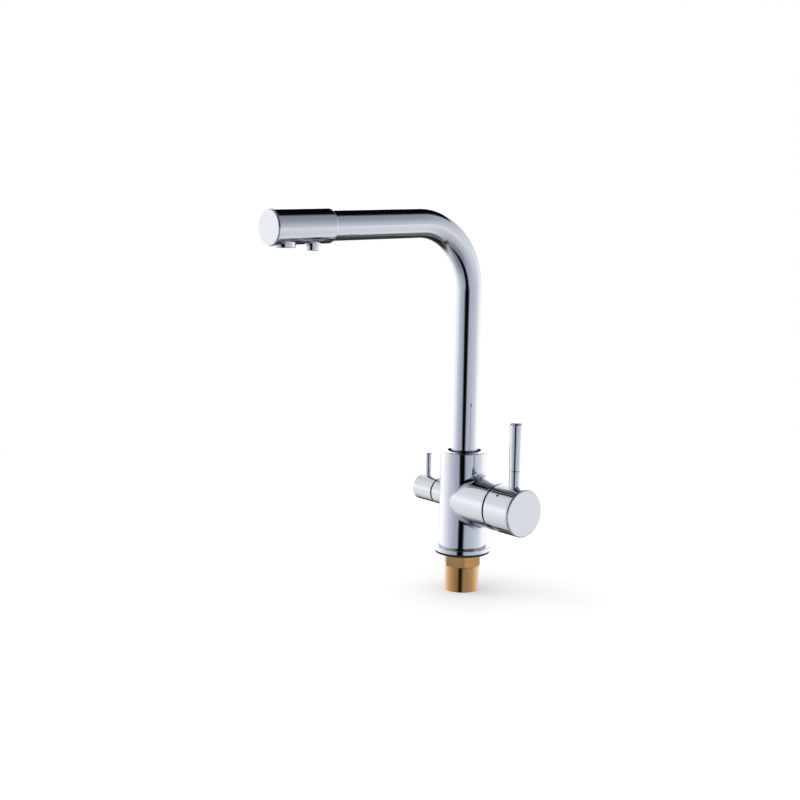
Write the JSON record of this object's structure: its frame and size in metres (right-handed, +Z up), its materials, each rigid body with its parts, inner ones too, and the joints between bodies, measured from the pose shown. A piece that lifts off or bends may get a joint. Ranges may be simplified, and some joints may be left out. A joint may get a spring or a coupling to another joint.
{
  "type": "kitchen mixer tap",
  "caption": "Deck-mounted chrome kitchen tap with a swivelling L spout, a side mixer knob with an upright pin lever and a small filtered-water knob on the other side.",
  "frame": {"origin": "centre of the base on the worktop plane, on the axis of the upright body", "axes": "+Z up along the body, -Y along the spout towards the user, +X along the mixer branch, -X along the filter branch"},
  "size_m": [0.1512, 0.2687, 0.3872],
  "materials": {
    "chrome": "bright chrome plate",
    "brass": "turned brass",
    "rubber": "black moulded rubber",
    "ceramic": "lapped alumina",
    "plastic": "moulded acetal",
    "hose": "extruded silicone tube",
    "steel": "turned stainless steel"
  },
  "bodies": {
    "tap_body": {"base_gasket": "rubber", "base_flange": "chrome", "shank": "brass", "mixer_body": "chrome", "spout_washer": "plastic", "spout_keeper": "steel", "cartridge_gasket": "rubber", "cartridge_base": "plastic", "cartridge_case": "plastic", "fixed_disc": "ceramic", "cartridge_nut": "brass", "dome_ring": "plastic", "filter_seal": "rubber", "filter_headwork": "brass", "filter_fixed_disc": "ceramic"},
    "spout": {"spout_tube": "chrome", "spout_spigot": "brass", "spigot_ring_upper": "rubber", "spigot_ring_lower": "rubber", "tail_ring": "rubber", "inner_tube": "hose", "spout_head": "chrome", "head_cap": "chrome", "aerator_housing": "chrome", "aerator_insert": "plastic", "aerator_washer": "rubber", "filter_nozzle": "chrome"},
    "carrier": {"stem_carrier": "plastic", "pivot_pin": "steel"},
    "lever": {"lever_spindle": "brass", "mixer_knob": "chrome", "knob_cap": "chrome", "knob_screw": "steel", "lever_ferrule": "chrome", "pin_lever": "chrome"},
    "mixing_disc": {"moving_disc": "ceramic", "disc_driver": "plastic"},
    "filter_handle": {"filter_spindle": "brass", "filter_moving_disc": "ceramic", "spindle_ring": "rubber", "filter_knob": "chrome", "filter_knob_screw": "steel", "filter_pin": "chrome"}
  },
  "joints": [
    {"name": "spout_swivel", "type": "hinge", "parent": "tap_body", "child": "spout", "pos_m": [0, 0, 0.1], "axis": [0, 0, 1], "continuous": true},
    {"name": "mixer_temperature", "type": "hinge", "parent": "tap_body", "child": "carrier", "pos_m": [0.03405, 0, 0.0556], "axis": [1, 0, 0], "range_deg": [-50, 50]},
    {"name": "mixer_flow", "type": "hinge", "parent": "carrier", "child": "lever", "pos_m": [0.03405, 0, 0.0556], "axis": [0, 1, 0], "range_deg": [0, 20]},
    {"name": "disc_slide", "type": "slide", "parent": "carrier", "child": "mixing_disc", "axis": [0, 0, 1], "range_m": [0, 0.00198]},
    {"name": "filter_turn", "type": "hinge", "parent": "tap_body", "child": "filter_handle", "pos_m": [-0.04, 0, 0.0556], "axis": [1, 0, 0], "range_deg": [0, 90]}
  ],
  "couplings": [
    {"joint": "disc_slide", "follows": "mixer_flow", "m_per_rad": 0.0056829}
  ]
}
